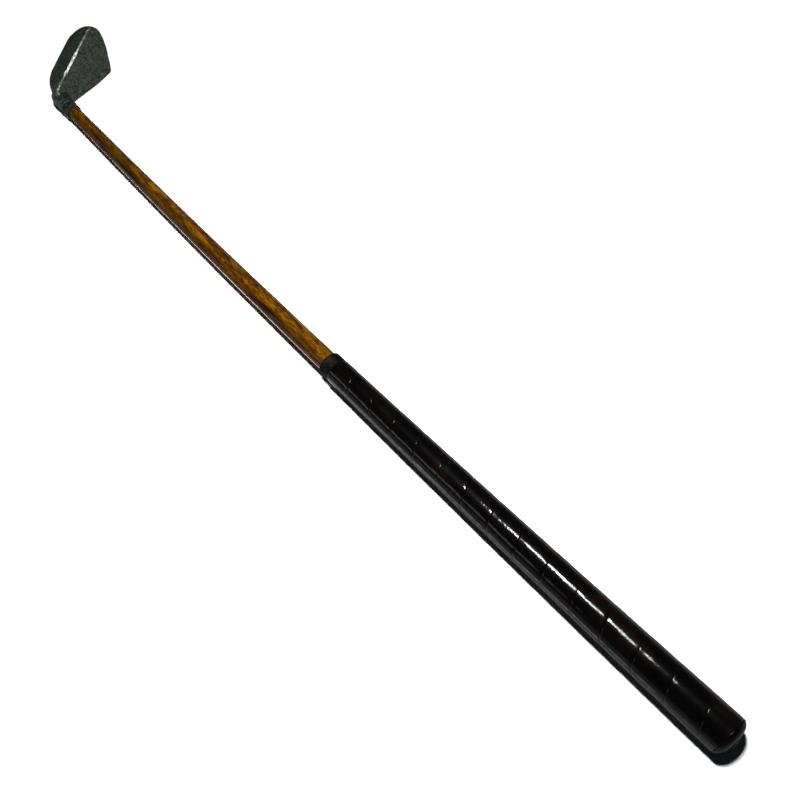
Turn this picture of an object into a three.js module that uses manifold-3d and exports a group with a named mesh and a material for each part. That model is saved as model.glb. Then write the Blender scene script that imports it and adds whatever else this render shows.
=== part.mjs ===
// Right-handed hickory putter with a cast aluminium mallet head, lying with its face turned up.
// Lengths are millimetres and +Z is up. The butt of the grip is toward -X and the head toward +X.
// The club is built in its playing position, sole down, and then laid on three points of contact.
// It is worked out with the toe toward +X, which is a left-hander's club, and each finished piece
// is mirrored.

import * as THREE from 'three';
import { mergeVertices } from 'three/addons/utils/BufferGeometryUtils.js';
import Module from 'manifold-3d';

const wasm = await Module();
wasm.setup();

const degree = Math.PI / 180;

// Clearances
const glueGap = 0.3;            // between a piece and what it is glued, wound or driven into
const cutOverrun = 2;           // how far a cutting solid reaches past the face that it opens

// Playing position
const lieAngle = 70 * degree;   // shaft to sole line, seen from the front
const faceLoft = 2 * degree;    // lean of the face

// Head body. Reaches run from the heel end of the face's top edge toward the toe,
// depths run from the face toward the back, and heights run from the sole.
const headHeight = 21.5;
const faceReach = 61;           // straight length of the face
const toeReach = 70.7;          // outermost point of the toe
const toeDepth = 10.5;
const toeSwellReach = 70.2;     // bulge of the toe behind its outermost point
const toeSwellDepth = 18;
const shoulderReach = 61.3;     // end of the toe's curve, where its straight back run starts
const shoulderDepth = 30.2;
const cornerReach = 48.6;       // back corner
const cornerDepth = 45.2;
const cornerRound = 5;
const backBulgeReach = 29.3;    // point that the curved part of the back edge bulges toward
const backBulgeDepth = 40.8;
const backRunReach = 23.3;      // toe end of the straight back run, on which the head lies
const backRunDepth = 38.2;
const crotchReach = 3.6;        // heel end of that run, toward the heel
const crotchDepth = 24.2;
const heelReach = 15;           // heel end of the body, toward the heel
const toeRiseReach = 46;        // where the sole starts to rise toward the toe
const toeRise = 18;
const heelRiseReach = 14;       // where the sole starts to rise toward the heel
const heelRise = 19;
const backWallLean = 4;         // how far the foot of the back wall tucks in
const backSoleLift = 7.5;       // height of that foot over the sole
const soleFlatShare = 0.62;     // flat share of the sole, from the face to the back
const topFrontRound = 2.4;
const topBackRound = 1.8;
const wallFootRound = 4;
const soleBreakRound = 6;
const soleFrontRound = 1.8;
const roundLimitShare = 0.42;   // share of a side that a rounding may take

// Neck, measured along the shaft from the mouth of its socket
const neckSetBack = 11.6;       // shaft axis behind the face
const neckReach = 11.8;         // shaft axis at the flat top, toward the heel
const neckLength = 15.2;        // mouth of the socket to the flat top, along the axis
const neckRadius = 7.9;
const neckLipRound = 0.8;
const neckHeelRadius = 8.2;     // round heel under the neck
const neckHeelDrop = 16.5;      // flat top to the bottom of the round heel
const neckFlareShare = 0.45;    // share of the neck's length that stays straight
const pinDrop = 4.2;            // cross pin below the mouth
const pinRadius = 1.3;
const pinChamfer = 0.3;
const pinProud = 0.3;

// Lead weight let into the sole
const weightRadius = 8;
const weightDepth = 8;
const weightReach = 36;
const weightSetBack = 13.5;
const weightSink = 0.2;         // below the face of the sole

// Hickory shaft, measured from the mouth of the socket toward the butt
const clubLength = 806.6;       // mouth of the socket to the end of the butt cap
const buttBow = 19.3;           // how far the warped shaft bends aside by its butt end
const bowTurn = 26 * degree;    // from a bend toward the toe, round toward one to the back
const tenonLength = 21;
const tenonTipRadius = 4.9;
const shaftNeckRadius = 6.3;
const shaftGripRadius = 8.45;   // where it runs under the grip
const shaftButtRadius = 10.75;
const shaftEndRound = 0.8;

// Grip
const gripLength = 378.3;       // butt cap to the end of the lower whipping
const gripButtRadius = 13.9;
const gripLowRadius = 10.45;
const leatherThickness = 1.05;
const leatherPitch = 25;        // advance of the strip in one turn
const leatherSeam = 0.55;       // open seam between two turns
const leatherLap = 3.2;         // width of the edge that is pared down
const leatherLapThickness = 0.55;
const leatherEdgeRound = 0.5;
const leatherTip = 2;           // width of the strip's cut ends
const listingTailThickness = 0.35;
const capThickness = 5.3;
const capSideHeight = 1.5;      // straight side of the cap below its dome
const capBulgeRadius = 9.5;     // point that the dome's outline bulges toward
const capFlatRadius = 4.4;

// Tack in the butt
const tackHeadRadius = 4.2;
const tackHeadHeight = 0.9;
const tackShankRadius = 0.9;
const tackShankLength = 13;
const tackPointLength = 3;
const tackHoleGap = 0.25;

// Waxed thread of the two whippings
const threadRadius = 0.4;
const threadPitch = 1.5;
const neckLoops = 6;
const gripLoops = 7;

// Fineness of the facets
const turnSides = 32;
const loopSteps = 24;
const threadSides = 6;
const headStations = 44;
const cornerSteps = 5;
const curveSteps = 24;
const bowSteps = 7;
const settlingPasses = 12;

const leastGaps = [];

// Turns a closed geometry into a solid: equal corners merged and collapsed facets left out.
function solidOf(geometry) {
  const bare = geometry.clone();
  bare.deleteAttribute('normal');
  bare.deleteAttribute('uv');
  const merged = mergeVertices(bare);
  const corners = merged.index.array;
  const kept = [];
  for (let i = 0; i < corners.length; i += 3) {
    const [a, b, c] = corners.slice(i, i + 3);
    if (a !== b && b !== c && c !== a) kept.push(a, b, c);
  }
  return new wasm.Manifold(new wasm.Mesh({
    numProp: 3,
    vertProperties: new Float32Array(merged.attributes.position.array),
    triVerts: new Uint32Array(kept),
  }));
}

// Turns a solid back into a geometry.
function geometryOf(solid) {
  const mesh = solid.getMesh();
  const geometry = new THREE.BufferGeometry();
  geometry.setAttribute('position', new THREE.BufferAttribute(new Float32Array(mesh.vertProperties), 3));
  geometry.setIndex(new THREE.BufferAttribute(new Uint32Array(mesh.triVerts), 1));
  geometry.computeVertexNormals();
  return geometry;
}

// Offset of the warped shaft from its straight line at a place along it.
function bowAt(along) {
  const size = buttBow * (Math.max(0, along) / clubLength) ** 2;
  return new THREE.Vector3(-size * Math.cos(bowTurn), 0, size * Math.sin(bowTurn));
}

// A solid turned about the shaft's bowed axis. Each row is [radius, place along the axis].
function turned(rows) {
  const points = rows.map(([radius, along]) => new THREE.Vector2(radius, along));
  const lathe = new THREE.LatheGeometry(points, turnSides);
  const places = lathe.attributes.position;
  for (let i = 0; i < places.count; i += 1) {
    const place = new THREE.Vector3().fromBufferAttribute(places, i);
    const moved = place.add(bowAt(place.y));
    places.setXYZ(i, moved.x, moved.y, moved.z);
  }
  return solidOf(lathe);
}

// Rows of a long taper, cut into lengths that are short enough to follow the bow.
function taperRows(radiusAt, start, end) {
  const rows = [];
  for (let step = 0; step <= bowSteps; step += 1) {
    const along = between(step, 0, start, bowSteps, end);
    rows.push([radiusAt(along), along]);
  }
  return rows;
}

// Rows of a quarter round from one point to another; the corner is the point that it bulges toward.
function roundRows([fromRadius, fromAlong], [cornerRadius, cornerAlong], [toRadius, toAlong]) {
  const curve = new THREE.QuadraticBezierCurve(
    new THREE.Vector2(fromRadius, fromAlong),
    new THREE.Vector2(cornerRadius, cornerAlong),
    new THREE.Vector2(toRadius, toAlong),
  );
  return curve.getPoints(cornerSteps).map((point) => [point.x, point.y]);
}

// A closed skin through rings of corners, all with as many corners, with a flat cap on each end.
function loft(rings) {
  const sides = rings[0].length;
  const positions = rings.flat().flatMap((point) => [point.x, point.y, point.z]);
  const index = [];
  for (let ring = 0; ring < rings.length - 1; ring += 1) {
    for (let side = 0; side < sides; side += 1) {
      const next = (side + 1) % sides;
      const a = ring * sides + side;
      const b = ring * sides + next;
      index.push(a, b, a + sides, b, b + sides, a + sides);
    }
  }
  const last = (rings.length - 1) * sides;
  for (let side = 1; side < sides - 1; side += 1) {
    index.push(0, side + 1, side);
    index.push(last, last + side, last + side + 1);
  }
  const geometry = new THREE.BufferGeometry();
  geometry.setAttribute('position', new THREE.BufferAttribute(new Float32Array(positions), 3));
  geometry.setIndex(index);
  geometry.computeVertexNormals();
  return geometry;
}

// Value on the straight line through two known places.
function between(at, startAt, startValue, endAt, endValue) {
  return THREE.MathUtils.mapLinear(at, startAt, endAt, startValue, endValue);
}

// Shaft frame: its Y runs up the shaft from the mouth of the socket, and its Z runs to the back.
const upShaft = new THREE.Vector3(-Math.cos(lieAngle), 0, Math.sin(lieAngle));
const toBack = new THREE.Vector3(0, 1, 0);
const mouth = new THREE.Vector3(-neckReach, neckSetBack, headHeight).addScaledVector(upShaft, neckLength);
const shaftFrame = new THREE.Matrix4()
  .makeBasis(new THREE.Vector3().crossVectors(upShaft, toBack), upShaft, toBack)
  .setPosition(mouth);

// Direction that the finished pieces are mirrored along, which changes the club's hand
const handAxis = new THREE.Vector3(1, 0, 0);

// Places along the shaft that several pieces share
const neckWhippingStart = glueGap + threadRadius;
const buttEnd = clubLength;
const capSeat = buttEnd - capThickness;
const woodEnd = capSeat - glueGap;
const gripEnd = clubLength - gripLength;
const gripWhippingLength = gripLoops * threadPitch + 2 * threadRadius;
const leatherEnd = gripEnd + gripWhippingLength + glueGap;

// Radius of the wood along the shaft.
function woodRadius(along) {
  if (along < 0) return between(along, -tenonLength, tenonTipRadius, 0, shaftNeckRadius);
  if (along < gripEnd) return between(along, 0, shaftNeckRadius, gripEnd, shaftGripRadius);
  return between(along, gripEnd, shaftGripRadius, woodEnd, shaftButtRadius);
}

// Outer radius of the leather.
function gripRadius(along) {
  return between(along, leatherEnd, gripLowRadius, capSeat, gripButtRadius);
}

// Outer radius of the cloth listing under the leather, and of its tail under the whipping.
function listingRadius(along) {
  if (along < leatherEnd) return woodRadius(along) + glueGap + listingTailThickness;
  return gripRadius(along) - leatherThickness - glueGap;
}

// Outline of the head seen from above.
function planOutline() {
  const plan = new THREE.Shape();
  const backRun = new THREE.Vector2(cornerReach - backBulgeReach, cornerDepth - backBulgeDepth).normalize();
  const toeRun = new THREE.Vector2(shoulderReach - cornerReach, shoulderDepth - cornerDepth).normalize();
  const corner = new THREE.Vector2(cornerReach, cornerDepth);
  const toeSide = corner.clone().addScaledVector(toeRun, cornerRound);
  const backSide = corner.clone().addScaledVector(backRun, -cornerRound);
  plan.moveTo(0, 0);
  plan.lineTo(faceReach, 0);
  plan.quadraticCurveTo(toeReach, 0, toeReach, toeDepth);
  plan.quadraticCurveTo(toeSwellReach, toeSwellDepth, shoulderReach, shoulderDepth);
  plan.lineTo(toeSide.x, toeSide.y);
  plan.quadraticCurveTo(corner.x, corner.y, backSide.x, backSide.y);
  plan.quadraticCurveTo(backBulgeReach, backBulgeDepth, backRunReach, backRunDepth);
  plan.lineTo(-crotchReach, crotchDepth);
  plan.quadraticCurveTo(-heelReach, crotchDepth, -heelReach, neckSetBack);
  plan.quadraticCurveTo(-heelReach, 0, 0, 0);
  return plan.getPoints(curveSteps);
}

// Face and back of the outline where a line across the head at this reach crosses it.
function spanAt(outline, reach) {
  const depths = [];
  outline.forEach((start, i) => {
    const end = outline[(i + 1) % outline.length];
    if ((start.x - reach) * (end.x - reach) < 0) {
      depths.push(between(reach, start.x, start.y, end.x, end.y));
    }
  });
  return [Math.min(...depths), Math.max(...depths)];
}

// Height of the sole, which is flat in the middle and sweeps up to the heel and the toe.
function soleHeight(reach) {
  const toeShare = Math.max(0, (reach - toeRiseReach) / (toeReach - toeRiseReach));
  const heelShare = Math.max(0, (heelRiseReach - reach) / (heelRiseReach + heelReach));
  return toeRise * toeShare ** 2 + heelRise * heelShare ** 2;
}

// Replaces each corner of a closed outline by a round of the given size.
function roundCorners(corners, rounds) {
  const rounded = [];
  corners.forEach((corner, i) => {
    const before = corners[(i + corners.length - 1) % corners.length].clone().sub(corner);
    const after = corners[(i + 1) % corners.length].clone().sub(corner);
    const size = Math.min(rounds[i], roundLimitShare * before.length(), roundLimitShare * after.length());
    const curve = new THREE.QuadraticBezierCurve(
      corner.clone().addScaledVector(before.normalize(), size),
      corner,
      corner.clone().addScaledVector(after.normalize(), size),
    );
    rounded.push(...curve.getPoints(cornerSteps));
  });
  return rounded;
}

// Section across the head at one reach: face, flat top, back wall and sole.
function headSection(outline, reach) {
  const [face, back] = spanAt(outline, reach);
  const low = soleHeight(reach);
  const thickShare = (headHeight - low) / headHeight;
  const faceFoot = face - (headHeight - low) * Math.tan(faceLoft);
  const wallFoot = back - backWallLean * thickShare;
  const corners = [
    new THREE.Vector2(faceFoot, low),
    new THREE.Vector2(face + (wallFoot - face) * soleFlatShare, low),
    new THREE.Vector2(wallFoot, low + backSoleLift * thickShare),
    new THREE.Vector2(back, headHeight),
    new THREE.Vector2(face, headHeight),
  ];
  const rounds = [soleFrontRound, soleBreakRound, wallFootRound, topBackRound, topFrontRound];
  return roundCorners(corners, rounds).map((point) => new THREE.Vector3(reach, point.x, point.y));
}

// Body of the head, lofted from heel to toe with its sections closer together toward both ends.
function headBody() {
  const outline = planOutline();
  const sections = [];
  for (let station = 0; station < headStations; station += 1) {
    const sweep = Math.PI * (station + 0.5) / headStations;
    const reach = between(-Math.cos(sweep), -1, -heelReach, 1, toeReach);
    sections.push(headSection(outline, reach));
  }
  return solidOf(loft(sections));
}

// Places a solid of the shaft's frame in the head's frame.
function onShaft(solid) {
  return solid.transform(shaftFrame.elements);
}

// Neck with its lip, its flare and the round heel below it.
function neckBody() {
  const topPlane = -neckLength;
  const straightEnd = topPlane * neckFlareShare;
  const flareEnd = topPlane - neckRadius * neckFlareShare;
  const heelBottom = topPlane - neckHeelDrop;
  return turned([
    ...roundRows([0, heelBottom], [neckHeelRadius, heelBottom], [neckHeelRadius, flareEnd]),
    ...roundRows([neckHeelRadius, flareEnd], [neckRadius, topPlane], [neckRadius, straightEnd]).slice(1),
    ...roundRows([neckRadius, -neckLipRound], [neckRadius, 0], [neckRadius - neckLipRound, 0]),
    [0, 0],
  ]);
}

// Socket in the neck for the tenon.
function socketCut() {
  const bottom = -tenonLength - glueGap;
  return turned([
    [0, bottom],
    [woodRadius(bottom) + glueGap, bottom],
    [woodRadius(0) + glueGap, 0],
    [woodRadius(0) + glueGap, cutOverrun],
    [0, cutOverrun],
  ]);
}

// A round rod across the shaft's axis, from the face side to the back.
function crossRod(radius, length, chamfer) {
  const half = length / 2;
  const rod = new THREE.LatheGeometry([
    new THREE.Vector2(0, -half),
    new THREE.Vector2(radius - chamfer, -half),
    new THREE.Vector2(radius, chamfer - half),
    new THREE.Vector2(radius, half - chamfer),
    new THREE.Vector2(radius - chamfer, half),
    new THREE.Vector2(0, half),
  ], turnSides);
  rod.rotateX(Math.PI / 2);
  rod.translate(0, -pinDrop, 0);
  return solidOf(rod);
}

// Hole for the cross pin, through both walls of the neck and the tenon.
function pinHole() {
  const reach = 2 * (neckHeelRadius + cutOverrun);
  return crossRod(pinRadius + glueGap, reach, pinChamfer);
}

// A round plug in the sole, from the given depth inside to the given height.
function solePlug(radius, inner, outer) {
  const plug = new THREE.CylinderGeometry(radius, radius, inner - outer, turnSides);
  plug.rotateX(Math.PI / 2);
  plug.translate(weightReach, weightSetBack, (inner + outer) / 2);
  return solidOf(plug);
}

function makeHead() {
  const pocket = solePlug(weightRadius + glueGap, weightDepth + glueGap, -cutOverrun);
  return headBody()
    .add(onShaft(neckBody()))
    .subtract(onShaft(socketCut()))
    .subtract(onShaft(pinHole()))
    .subtract(pocket);
}

function makeShaft() {
  const holeRadius = tackShankRadius + tackHoleGap;
  const holeBottom = woodEnd - tackShankLength;
  const wood = turned([
    [0, -tenonLength],
    [woodRadius(-tenonLength), -tenonLength],
    ...taperRows(woodRadius, 0, gripEnd),
    ...taperRows(woodRadius, gripEnd, woodEnd - shaftEndRound).slice(1),
    [woodRadius(woodEnd) - shaftEndRound, woodEnd],
    [holeRadius, woodEnd],
    [holeRadius, holeBottom],
    [0, holeBottom],
  ]);
  return wood.subtract(pinHole());
}

// Cloth listing: a sleeve that builds up the grip, with a thin tail under the whipping.
function makeListing() {
  const start = gripEnd + threadRadius;
  const end = woodEnd;
  const inner = (along) => woodRadius(along) + glueGap;
  return turned([
    [inner(start), start],
    [listingRadius(start), start],
    [woodRadius(leatherEnd) + glueGap + listingTailThickness, leatherEnd - glueGap],
    ...taperRows(listingRadius, leatherEnd, end),
    ...taperRows(inner, end, start),
  ]);
}

// Closed body through the rings of a winding, bowed with the shaft. The least distance between
// the corners of each ring and those of the ring one turn on is kept for the print-out.
function wound(name, rings) {
  rings.flat().forEach((point) => point.add(bowAt(point.y)));
  let least = Infinity;
  for (let i = 0; i + loopSteps < rings.length; i += 1) {
    for (const point of rings[i]) {
      for (const other of rings[i + loopSteps]) least = Math.min(least, point.distanceTo(other));
    }
  }
  leastGaps.push(`${name}: least gap to itself ${least.toFixed(2)} mm`);
  return solidOf(loft(rings));
}

// Radial and axial section of the leather strip, pared toward the head and full toward the butt.
function stripSection(low, high) {
  const width = high - low;
  const lap = Math.min(leatherLap, width * roundLimitShare);
  const edge = Math.min(leatherEdgeRound, width * roundLimitShare);
  const inner = (along) => gripRadius(along) - leatherThickness;
  return [
    [inner(low), low],
    [inner(low) + leatherLapThickness, low],
    [gripRadius(low + lap), low + lap],
    [gripRadius(high - edge), high - edge],
    [gripRadius(high) - leatherEdgeRound, high],
    [inner(high), high],
  ];
}

// Leather strip wound from the whipping to the butt in one piece, with its first and last turn
// cut along the ends of the grip.
function makeLeather() {
  const width = leatherPitch - leatherSeam;
  const start = leatherEnd + leatherTip - width / 2;
  const end = capSeat - glueGap - leatherTip + width / 2;
  const steps = Math.round((end - start) / leatherPitch * loopSteps);
  const rings = [];
  for (let step = 0; step <= steps; step += 1) {
    const middle = between(step, 0, start, steps, end);
    const turn = (middle - start) / leatherPitch * 2 * Math.PI;
    const low = Math.max(leatherEnd, middle - width / 2);
    const high = Math.min(capSeat - glueGap, middle + width / 2);
    rings.push(stripSection(low, high).map(([radius, along]) => (
      new THREE.Vector3(radius * Math.cos(turn), along, radius * Math.sin(turn))
    )));
  }
  return wound('grip_leather', rings);
}

// Thread wound in one unbroken run on a round surface.
function windThread(name, start, loops, surface) {
  const rings = [];
  for (let step = 0; step <= loops * loopSteps; step += 1) {
    const turn = step / loopSteps * 2 * Math.PI;
    const along = start + step / loopSteps * threadPitch;
    const radius = surface(along) + glueGap + threadRadius;
    const outward = new THREE.Vector3(Math.cos(turn), 0, Math.sin(turn));
    const forward = new THREE.Vector3(-Math.sin(turn) * radius, threadPitch / (2 * Math.PI), Math.cos(turn) * radius);
    const across = forward.normalize().cross(outward);
    const centre = outward.clone().multiplyScalar(radius).setY(along);
    const ring = [];
    for (let side = 0; side < threadSides; side += 1) {
      const roll = side / threadSides * 2 * Math.PI;
      ring.push(centre.clone()
        .addScaledVector(outward, threadRadius * Math.cos(roll))
        .addScaledVector(across, threadRadius * Math.sin(roll)));
    }
    rings.push(ring);
  }
  return wound(name, rings);
}

function makeGripWhipping() {
  return windThread('grip_whipping', gripEnd + threadRadius, gripLoops, listingRadius);
}

function makeNeckWhipping() {
  return windThread('neck_whipping', neckWhippingStart, neckLoops, woodRadius);
}

function makeCap() {
  const hole = tackShankRadius + tackHoleGap;
  return turned([
    [hole, capSeat],
    [gripButtRadius, capSeat],
    ...roundRows([gripButtRadius, capSeat + capSideHeight], [capBulgeRadius, buttEnd], [capFlatRadius, buttEnd]),
    [hole, buttEnd],
    [hole, capSeat],
  ]);
}

function makeTack() {
  const seat = buttEnd + glueGap;
  const point = woodEnd - tackShankLength + glueGap;
  return turned([
    [0, point],
    [tackShankRadius, point + tackPointLength],
    [tackShankRadius, seat],
    [tackHeadRadius, seat],
    ...roundRows([tackHeadRadius, seat], [tackHeadRadius, seat + tackHeadHeight], [0, seat + tackHeadHeight]).slice(1),
  ]);
}

const finishes = {
  castMetal: new THREE.MeshStandardMaterial({ color: 0x6f7670, roughness: 0.45, metalness: 0.9 }),
  lead: new THREE.MeshStandardMaterial({ color: 0x55585c, roughness: 0.6, metalness: 0.8 }),
  steel: new THREE.MeshStandardMaterial({ color: 0x3a3c3a, roughness: 0.5, metalness: 0.9 }),
  brass: new THREE.MeshStandardMaterial({ color: 0x9a7b3c, roughness: 0.4, metalness: 0.9 }),
  hickory: new THREE.MeshStandardMaterial({ color: 0x8a5a12, roughness: 0.4, metalness: 0 }),
  leather: new THREE.MeshStandardMaterial({ color: 0x17100e, roughness: 0.3, metalness: 0 }),
  cloth: new THREE.MeshStandardMaterial({ color: 0x6b6250, roughness: 0.9, metalness: 0 }),
  thread: new THREE.MeshStandardMaterial({ color: 0x14171c, roughness: 0.6, metalness: 0 }),
};

// A named piece with a material of its own, mirrored into the right-hander's club.
function piece(name, solid, finish) {
  const mesh = new THREE.Mesh(geometryOf(solid.mirror(handAxis.toArray())), finish.clone());
  mesh.name = name;
  return mesh;
}

const head = new THREE.Group();
head.add(
  piece('head_casting', makeHead(), finishes.castMetal),
  piece('sole_weight', solePlug(weightRadius, weightDepth, weightSink), finishes.lead),
);

const pin = crossRod(pinRadius, 2 * (neckRadius + pinProud), pinChamfer);
const shaft = new THREE.Group();
shaft.add(
  piece('hickory_shaft', onShaft(makeShaft()), finishes.hickory),
  piece('neck_pin', onShaft(pin), finishes.steel),
  piece('neck_whipping', onShaft(makeNeckWhipping()), finishes.thread),
  piece('grip_listing', onShaft(makeListing()), finishes.cloth),
  piece('grip_leather', onShaft(makeLeather()), finishes.leather),
  piece('grip_whipping', onShaft(makeGripWhipping()), finishes.thread),
  piece('butt_cap', onShaft(makeCap()), finishes.leather),
  piece('butt_tack', onShaft(makeTack()), finishes.brass),
);

const club = new THREE.Group();
club.add(head, shaft);

// All corners of the meshes under a group, in the frame of the whole.
function cornersOf(group) {
  const points = [];
  club.updateMatrixWorld(true);
  group.traverse((item) => {
    if (!item.isMesh) return;
    const places = item.geometry.attributes.position;
    for (let i = 0; i < places.count; i += 1) {
      points.push(new THREE.Vector3().fromBufferAttribute(places, i).applyMatrix4(item.matrixWorld));
    }
  });
  return points;
}

function lowest(points, up) {
  return points.reduce((low, point) => (point.dot(up) < low.dot(up) ? point : low));
}

// Upward direction of the table that the club lies on: it touches both ends of the straight
// run of the head's back edge, and the butt.
function tableUp() {
  const headCorners = cornersOf(head);
  const parting = (crotchReach - backRunReach) / 2;
  const heelPart = headCorners.filter((point) => point.x > parting);
  const toePart = headCorners.filter((point) => point.x < parting);
  const gripPart = cornersOf(shaft);
  let up = new THREE.Vector3(0, -1, 0);
  for (let pass = 0; pass < settlingPasses; pass += 1) {
    const [heelFoot, toeFoot, buttFoot] = [heelPart, toePart, gripPart].map((part) => lowest(part, up));
    up = new THREE.Plane().setFromCoplanarPoints(toeFoot, heelFoot, buttFoot).normal;
  }
  return up;
}

// Lays the club down with its shaft along X and its origin under the middle of its bounding box.
function layDown() {
  const up = tableUp();
  const along = upShaft.clone().reflect(handAxis).negate().projectOnPlane(up).normalize();
  const aside = new THREE.Vector3().crossVectors(up, along);
  const turn = new THREE.Matrix4().makeBasis(along, aside, up).transpose();
  club.applyMatrix4(turn);
  const box = new THREE.Box3().setFromPoints(cornersOf(club));
  const middle = box.getCenter(new THREE.Vector3());
  club.position.set(-middle.x, -middle.y, -box.min.z);
  club.updateMatrixWorld(true);
}

layDown();
console.log(leastGaps.join('\n'));

export default club;
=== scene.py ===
"""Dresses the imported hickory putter: fine solids, finishes, floor, lamps and camera."""

import math

import bmesh
import bpy
import numpy as np
from bpy.props import FloatProperty, FloatVectorProperty, IntProperty, PointerProperty
from mathutils import Matrix, Vector, noise


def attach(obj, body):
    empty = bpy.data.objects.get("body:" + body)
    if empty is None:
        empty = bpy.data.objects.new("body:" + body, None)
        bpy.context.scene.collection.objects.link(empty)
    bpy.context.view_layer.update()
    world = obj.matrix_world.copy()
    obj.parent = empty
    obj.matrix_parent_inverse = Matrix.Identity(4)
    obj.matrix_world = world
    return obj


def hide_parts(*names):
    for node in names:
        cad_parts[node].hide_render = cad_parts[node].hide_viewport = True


bl_info = {
    "name": "Hickory Putter",
    "version": (1, 0, 0),
    "blender": (4, 5, 0),
    "location": "3D View > Sidebar > Putter",
    "description": "Cast mallet putter with a bowed hickory shaft and a wound leather grip",
    "category": "Object",
}

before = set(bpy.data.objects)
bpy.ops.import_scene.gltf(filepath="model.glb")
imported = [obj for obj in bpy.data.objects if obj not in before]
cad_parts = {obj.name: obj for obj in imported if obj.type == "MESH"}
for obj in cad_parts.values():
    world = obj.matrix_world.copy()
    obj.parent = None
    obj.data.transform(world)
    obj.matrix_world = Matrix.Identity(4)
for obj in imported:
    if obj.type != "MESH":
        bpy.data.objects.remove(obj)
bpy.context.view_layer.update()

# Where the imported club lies: the shaft's straight line from the socket's mouth, and the head
SOCKET_MOUTH = Vector((0.375685, 0.031050, 0.009189))
UP_SHAFT = Vector((-0.999984, 0.0, 0.005734))
SHAFT_SIDE = Vector((-0.002544, 0.896196, -0.443652))
SHAFT_BACK = Vector((-0.005139, -0.443659, -0.896181))
HEAD_EDGE_END = Vector((0.415193, 0.032849, 0.021015))
HEAD_TOE = Vector((0.344405, -0.842149, 0.414935))
HEAD_UP = Vector((-0.938807, -0.306517, 0.157126))
HEAD_HEIGHT = 0.0215
FACE_REACH = 0.061

# Small measures, in metres
GLUE_GAP = 0.0003
TENON_END_RADIUS = 0.0049
TAPE_UNDER_THREAD = 0.00035
SPOKESHAVE_FLATS = 0.00009
WELD_DISTANCE = 1e-6

# How far from the socket's mouth the wood is wholly black with pitch, and how far the pitch and a
# painted shadow of the thread reach
PITCH_WHOLE = 0.0085
PITCH_AND_SHADOW_END = 0.0108

# The rubbed line on the face's top edge, also a painted highlight: where it starts and ends, how it
# fades in, and its width
RUBBED_HIGHLIGHT_START = 0.009
RUBBED_HIGHLIGHT_END = 0.046
RUBBED_HIGHLIGHT_FADE_BY_NECK = 0.006
RUBBED_HIGHLIGHT_FADE_BY_TOE = 0.016
RUBBED_HIGHLIGHT_WIDTH = 0.0020

# The leather strip's lap, pared edge and uneven back, and how the thread's three plies lie
STRIP_LAP = 0.0020
STRIP_EDGE = 0.0004
STRIP_WAVE = 0.00014
PLY_SWELL = 0.07
PLY_TWIST = 0.42

# The butt cap: radius of its dome's shoulder, of its flat top and of its hidden middle
CAP_SHOULDER = 0.0112
CAP_FLAT = 0.0044
CAP_MIDDLE = 0.0008

# How finely the pieces are divided round and along, and in one turn of thread or strip
WOOD_SIDES = 88
WOOD_STATIONS = 400
TAPE_SIDES = 48
TAPE_STATIONS = 60
CAP_SIDES = 72
CAP_STEPS = 16
THREAD_SIDES = 12
THREAD_STEPS = 54
STRIP_STEPS = 72
CROWN_STEPS = 7

# Lamps, and the strips of light whose reflections run along the club's lower edge
CLUB_AXIS = Vector((1.0, 0.0, 0.0))
LAMP_PLACE = Vector((-0.068, 0.021, 0.920))
LAMP_TARGET = Vector((-0.02, -0.02, 0.0))
GLINT_SHIFT = Vector((-0.135, 0.0, 0.0))
GLINT_SPREAD = math.radians(50)
GRIP_CARD_PLACE = Vector((-0.24, 0.048, 0.0008))
WOOD_CARD_PLACE = Vector((0.160, 0.0350, 0.0008))

CAMERA_PLACE = Vector((-0.40212, 0.21454, 0.54295))
CAMERA_RIGHT = Vector((-0.63625, -0.77045, -0.03993))
CAMERA_DOWN = Vector((-0.62816, 0.54740, -0.55296))
CAMERA_LENS = 38.103

# The floor: its radius, how much paler the camera sees it, and how far out it turns plain white
FLOOR_RADIUS = 12.0
FLOOR_LIFT = 4.4
WHITE_STARTS = 0.49
WHITE_WHOLE = 0.66

# The room's light, in linear light
ROOM_HORIZON = (0.070, 0.078, 0.075)
ROOM_ABOVE = (0.034, 0.039, 0.038)
ROOM_FILL = (0.0026, 0.0041, 0.0049)
WINDOW_GLOW = (3.4, 3.6, 3.7)
WHITE = (1.0, 1.0, 1.0)

# Tints inside the finishes, in linear light
WARM_METAL = (0.232, 0.230, 0.188)
# Painted shade: the darker metal of the face and of both ends of its top edge.
PAINTED_SHADE_METAL = (0.030, 0.040, 0.036)
STEEL_DARK = (0.02, 0.022, 0.02)
STEEL_FILED = (0.07, 0.07, 0.065)
LEAD_DARK = (0.07, 0.074, 0.078)
LEAD_PALE = (0.13, 0.134, 0.138)
BRASS = (0.16, 0.115, 0.05)
BRASS_TARNISH = (0.04, 0.032, 0.018)
# Darker wood for the side of the shaft away from the light, a painted shade; the paler wood is on the
# lit side.
SHADED_HEARTWOOD_BY_GRIP = (0.175, 0.066, 0.0006)
SHADED_HEARTWOOD_BY_HEAD = (0.135, 0.058, 0.0018)
WOOD_RUSSET = (0.120, 0.032, 0.0008)
WOOD_OLIVE = (0.052, 0.029, 0.0008)
WOOD_FIBRE = (0.050, 0.017, 0.0008)
# Black pitch, which also darkens the wood just past the thread as a painted shadow.
WOOD_PITCH_AND_SHADOW = (0.005, 0.005, 0.004)
TAPE_GRIME = (0.16, 0.12, 0.08)


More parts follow.
